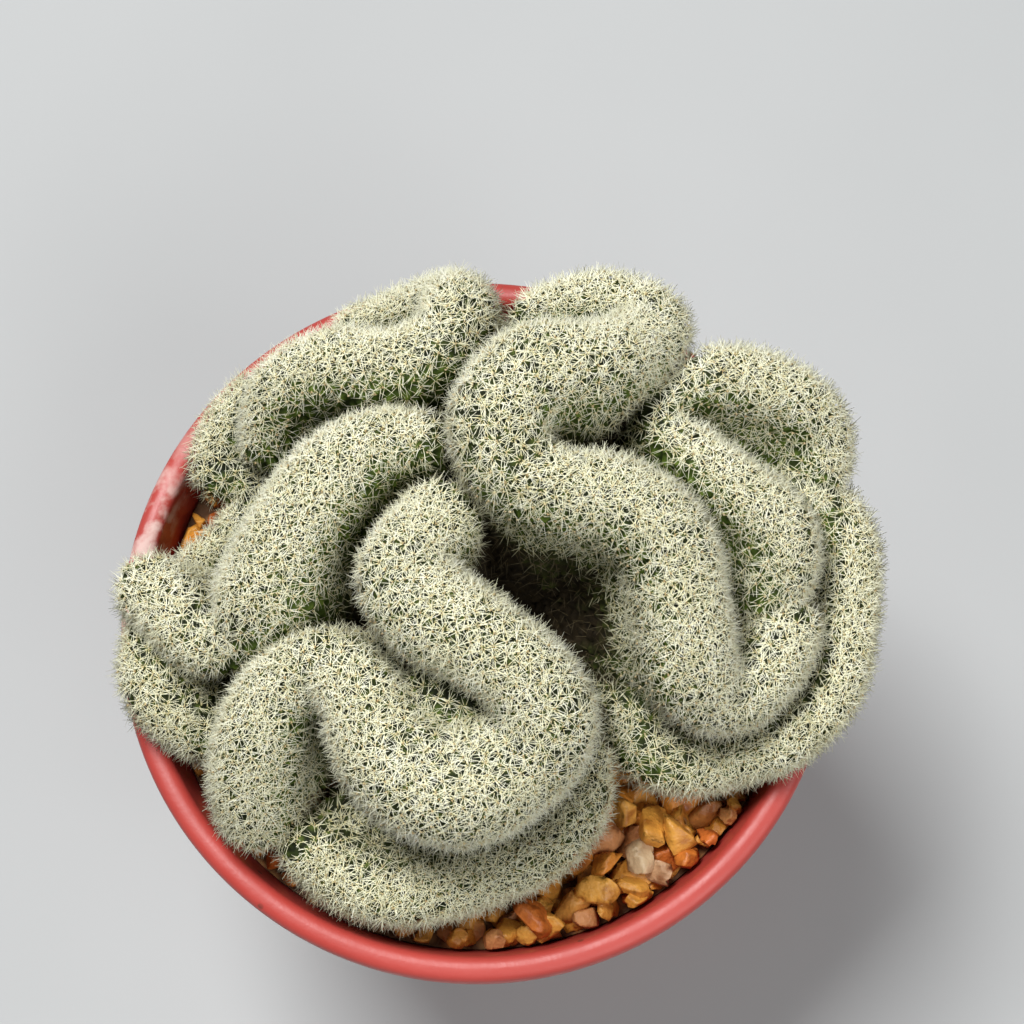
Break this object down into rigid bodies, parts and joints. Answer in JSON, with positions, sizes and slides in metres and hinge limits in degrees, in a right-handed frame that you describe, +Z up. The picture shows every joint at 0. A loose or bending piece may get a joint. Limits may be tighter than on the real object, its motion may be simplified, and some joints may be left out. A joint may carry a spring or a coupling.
{
  "type": "potted crested cactus",
  "caption": "Crested mammillaria: one folded, brain-like crest with tubercles and short pale spines, in a round plastic nursery pot with potting mix and a gravel top dressing.",
  "frame": {"origin": "centre of the pot's flat underside", "axes": "+Z up out of the pot's mouth; +Y away from the side the picture was taken from"},
  "size_m": [0.0964, 0.088, 0.1107],
  "materials": {
    "pot": "satin moulded plastic, brick red",
    "soil": "loose dark potting mix",
    "gravel": "broken ochre grains",
    "cactus": "green skin under short white spines"
  },
  "bodies": {
    "root": {"pot": "pot", "soil": "soil", "gravel": "gravel", "cactus": "cactus"}
  },
  "joints": []
}
